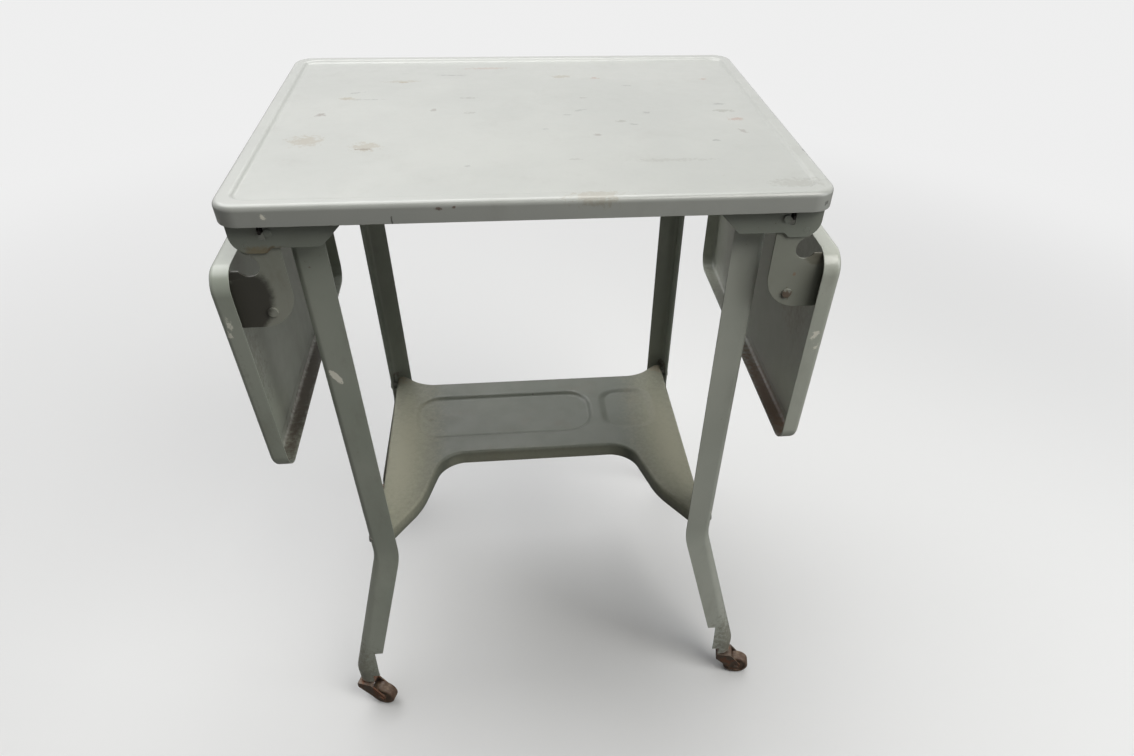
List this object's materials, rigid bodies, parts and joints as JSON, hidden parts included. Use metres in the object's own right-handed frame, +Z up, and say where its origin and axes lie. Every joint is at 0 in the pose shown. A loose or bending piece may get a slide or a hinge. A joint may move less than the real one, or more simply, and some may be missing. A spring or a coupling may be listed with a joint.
{
  "type": "typewriter table",
  "caption": "Small pressed-steel typewriter table with drop leaves on catch hinges, flared angle legs, a scooped low shelf and swivel casters.",
  "frame": {"origin": "on the floor under the middle of the top", "axes": "+X to the right, +Y to the back, +Z up, seen from the front with the leaves hanging left and right"},
  "size_m": [0.542, 0.3966, 0.673],
  "materials": {
    "grey_green_enamel": "semi-gloss enamel, worn",
    "arm_steel": "dull, lightly rusted",
    "fastener_steel": "dull, browned",
    "caster_steel": "dull, rusted",
    "brown_wheel": "worn"
  },
  "bodies": {
    "frame": {"caster_socket_front_left": "grey_green_enamel", "caster_socket_front_right": "grey_green_enamel", "caster_socket_rear_left": "grey_green_enamel", "caster_socket_rear_right": "grey_green_enamel", "catch_rivets": "fastener_steel", "gusset_front_left": "grey_green_enamel", "gusset_front_right": "grey_green_enamel", "gusset_rear_left": "grey_green_enamel", "gusset_rear_right": "grey_green_enamel", "hinge_pins": "fastener_steel", "leg_front_left": "grey_green_enamel", "leg_front_right": "grey_green_enamel", "leg_rear_left": "grey_green_enamel", "leg_rear_right": "grey_green_enamel", "rail_left": "grey_green_enamel", "rail_right": "grey_green_enamel", "shelf": "grey_green_enamel", "shelf_bolts": "fastener_steel", "shelf_nuts": "fastener_steel", "shelf_spacers": "fastener_steel", "top_panel": "grey_green_enamel"},
    "leaf_left": {"leaf_left_arm_rivets": "fastener_steel", "leaf_left_front_arm": "arm_steel", "leaf_left_panel": "grey_green_enamel", "leaf_left_rear_arm": "arm_steel"},
    "leaf_right": {"leaf_right_arm_rivets": "fastener_steel", "leaf_right_front_arm": "arm_steel", "leaf_right_panel": "grey_green_enamel", "leaf_right_rear_arm": "arm_steel"},
    "catch_front_left": {"catch_front_left": "arm_steel"},
    "caster_front_left": {"caster_stem_front_left": "caster_steel", "caster_fork_front_left": "caster_steel", "caster_axle_front_left": "caster_steel"},
    "wheel_front_left": {"caster_wheel_front_left": "brown_wheel"},
    "catch_front_right": {"catch_front_right": "arm_steel"},
    "caster_front_right": {"caster_stem_front_right": "caster_steel", "caster_fork_front_right": "caster_steel", "caster_axle_front_right": "caster_steel"},
    "wheel_front_right": {"caster_wheel_front_right": "brown_wheel"},
    "catch_rear_left": {"catch_rear_left": "arm_steel"},
    "caster_rear_left": {"caster_stem_rear_left": "caster_steel", "caster_fork_rear_left": "caster_steel", "caster_axle_rear_left": "caster_steel"},
    "wheel_rear_left": {"caster_wheel_rear_left": "brown_wheel"},
    "catch_rear_right": {"catch_rear_right": "arm_steel"},
    "caster_rear_right": {"caster_stem_rear_right": "caster_steel", "caster_fork_rear_right": "caster_steel", "caster_axle_rear_right": "caster_steel"},
    "wheel_rear_right": {"caster_wheel_rear_right": "brown_wheel"}
  },
  "joints": [
    {"name": "leaf_left_fold", "type": "hinge", "parent": "frame", "child": "leaf_left", "pos_m": [-0.21825, 0, 0.63775], "axis": [0, 1, 0], "range_deg": [0, 90]},
    {"name": "leaf_right_fold", "type": "hinge", "parent": "frame", "child": "leaf_right", "pos_m": [0.21825, 0, 0.63775], "axis": [0, -1, 0], "range_deg": [0, 90]},
    {"name": "catch_front_left_pivot", "type": "hinge", "parent": "frame", "child": "catch_front_left", "pos_m": [-0.19995, -0.1731, 0.64845], "axis": [0, 1, 0], "range_deg": [-4, 12]},
    {"name": "catch_front_right_pivot", "type": "hinge", "parent": "frame", "child": "catch_front_right", "pos_m": [0.19995, -0.1731, 0.64845], "axis": [0, -1, 0], "range_deg": [-4, 12]},
    {"name": "catch_rear_left_pivot", "type": "hinge", "parent": "frame", "child": "catch_rear_left", "pos_m": [-0.19995, 0.1731, 0.64845], "axis": [0, 1, 0], "range_deg": [-4, 12]},
    {"name": "catch_rear_right_pivot", "type": "hinge", "parent": "frame", "child": "catch_rear_right", "pos_m": [0.19995, 0.1731, 0.64845], "axis": [0, -1, 0], "range_deg": [-4, 12]},
    {"name": "caster_front_left_swivel", "type": "hinge", "parent": "frame", "child": "caster_front_left", "pos_m": [-0.2353, -0.1803, 0.04], "axis": [0, 0, 1], "continuous": true},
    {"name": "caster_front_right_swivel", "type": "hinge", "parent": "frame", "child": "caster_front_right", "pos_m": [0.2353, -0.1803, 0.04], "axis": [0, 0, 1], "continuous": true},
    {"name": "caster_rear_left_swivel", "type": "hinge", "parent": "frame", "child": "caster_rear_left", "pos_m": [-0.2353, 0.1803, 0.04], "axis": [0, 0, 1], "continuous": true},
    {"name": "caster_rear_right_swivel", "type": "hinge", "parent": "frame", "child": "caster_rear_right", "pos_m": [0.2353, 0.1803, 0.04], "axis": [0, 0, 1], "continuous": true},
    {"name": "wheel_front_left_roll", "type": "hinge", "parent": "caster_front_left", "child": "wheel_front_left", "pos_m": [-0.21745, -0.1868, 0.0165], "axis": [0.342, 0.9397, 0], "continuous": true},
    {"name": "wheel_front_right_roll", "type": "hinge", "parent": "caster_front_right", "child": "wheel_front_right", "pos_m": [0.25388, -0.18425, 0.0165], "axis": [0.2079, 0.9781, 0], "continuous": true},
    {"name": "wheel_rear_left_roll", "type": "hinge", "parent": "caster_rear_left", "child": "wheel_rear_left", "pos_m": [-0.25388, 0.18425, 0.0165], "axis": [-0.2079, -0.9781, 0], "continuous": true},
    {"name": "wheel_rear_right_roll", "type": "hinge", "parent": "caster_rear_right", "child": "wheel_rear_right", "pos_m": [0.21745, 0.1868, 0.0165], "axis": [-0.342, -0.9397, 0], "continuous": true}
  ]
}
